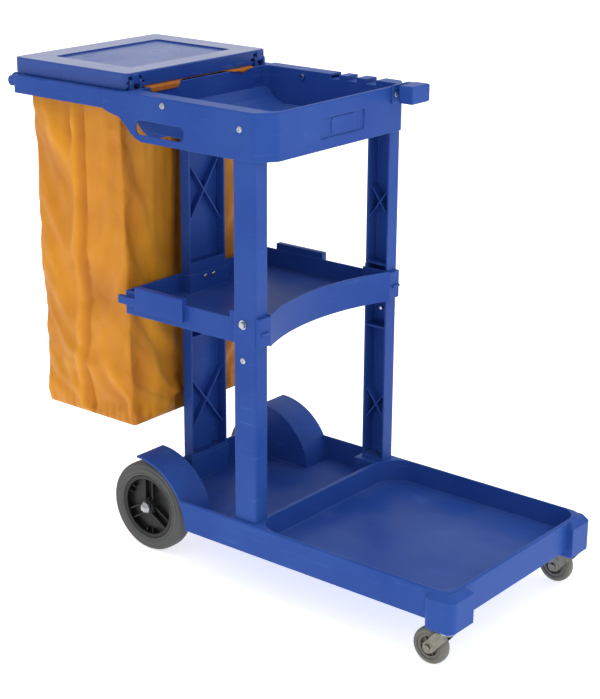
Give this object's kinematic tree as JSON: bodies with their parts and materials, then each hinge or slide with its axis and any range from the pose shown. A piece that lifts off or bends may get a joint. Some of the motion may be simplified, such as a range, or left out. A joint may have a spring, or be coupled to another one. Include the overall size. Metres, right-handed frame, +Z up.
{
  "type": "housekeeping cart",
  "caption": "Moulded three-level cleaning cart: wheeled platform with bucket recess, shelf, open top tray and a hanging bag under a hinged lid.",
  "frame": {"origin": "on the floor, under the middle of the cart's bounding box", "axes": "+X towards the bucket platform and swivel casters, +Y to the cart's left, +Z up"},
  "size_m": [1.195, 0.512, 1.039],
  "materials": {
    "blue_plastic": "semi-gloss moulded polypropylene",
    "bag_vinyl": "coated vinyl cloth",
    "tyre": "satin grey rubber",
    "hub_plastic": "matte black moulding",
    "caster_core": "matte grey moulding",
    "caster_tread": "non-marking grey rubber",
    "chrome": "bright",
    "zinc": "zinc plated"
  },
  "bodies": {
    "cart": {"base_platform": "blue_plastic", "front_post_left": "blue_plastic", "front_post_right": "blue_plastic", "rear_column": "blue_plastic", "middle_shelf": "blue_plastic", "top_tray": "blue_plastic", "bag_frame": "blue_plastic", "push_handle": "blue_plastic", "handle_hook": "blue_plastic", "bag": "bag_vinyl", "caster_race_left": "chrome", "caster_race_right": "chrome", "caster_balls_left": "chrome", "caster_balls_right": "chrome", "hinge_pins": "zinc", "rear_axle": "zinc", "axle_washers": "zinc", "axle_caps": "zinc", "caster_stem_left": "zinc", "caster_stem_right": "zinc", "shelf_bolts": "zinc", "post_screws": "zinc", "column_screws": "zinc", "tray_bolts": "zinc", "frame_bolts": "zinc", "foot_screws": "zinc", "handle_screws": "zinc", "hook_screws": "zinc"},
    "lid": {"lid": "blue_plastic"},
    "rear_wheel_left": {"rear_tyre_left": "tyre", "rear_hub_left": "hub_plastic"},
    "rear_wheel_right": {"rear_tyre_right": "tyre", "rear_hub_right": "hub_plastic"},
    "caster_left": {"caster_fork_left": "zinc", "caster_axle_left": "zinc"},
    "caster_right": {"caster_fork_right": "zinc", "caster_axle_right": "zinc"},
    "caster_wheel_left": {"caster_core_left": "caster_core", "caster_tread_left": "caster_tread"},
    "caster_wheel_right": {"caster_core_right": "caster_core", "caster_tread_right": "caster_tread"}
  },
  "joints": [
    {"name": "lid_hinge", "type": "hinge", "parent": "cart", "child": "lid", "pos_m": [-0.2535, 0, 1.019], "axis": [0, 1, 0], "range_deg": [0, 100]},
    {"name": "rear_wheel_left_spin", "type": "hinge", "parent": "cart", "child": "rear_wheel_left", "pos_m": [-0.2295, 0.191, 0.1], "axis": [0, 1, 0], "continuous": true},
    {"name": "rear_wheel_right_spin", "type": "hinge", "parent": "cart", "child": "rear_wheel_right", "pos_m": [-0.2295, -0.191, 0.1], "axis": [0, 1, 0], "continuous": true},
    {"name": "caster_left_swivel", "type": "hinge", "parent": "cart", "child": "caster_left", "pos_m": [0.5715, 0.229, 0.076], "axis": [0, 0, 1], "continuous": true},
    {"name": "caster_left_spin", "type": "hinge", "parent": "caster_left", "child": "caster_wheel_left", "pos_m": [0.5355, 0.229, 0.038], "axis": [0, 1, 0], "continuous": true},
    {"name": "caster_right_swivel", "type": "hinge", "parent": "cart", "child": "caster_right", "pos_m": [0.5715, -0.229, 0.076], "axis": [0, 0, 1], "continuous": true},
    {"name": "caster_right_spin", "type": "hinge", "parent": "caster_right", "child": "caster_wheel_right", "pos_m": [0.5355, -0.229, 0.038], "axis": [0, 1, 0], "continuous": true}
  ]
}
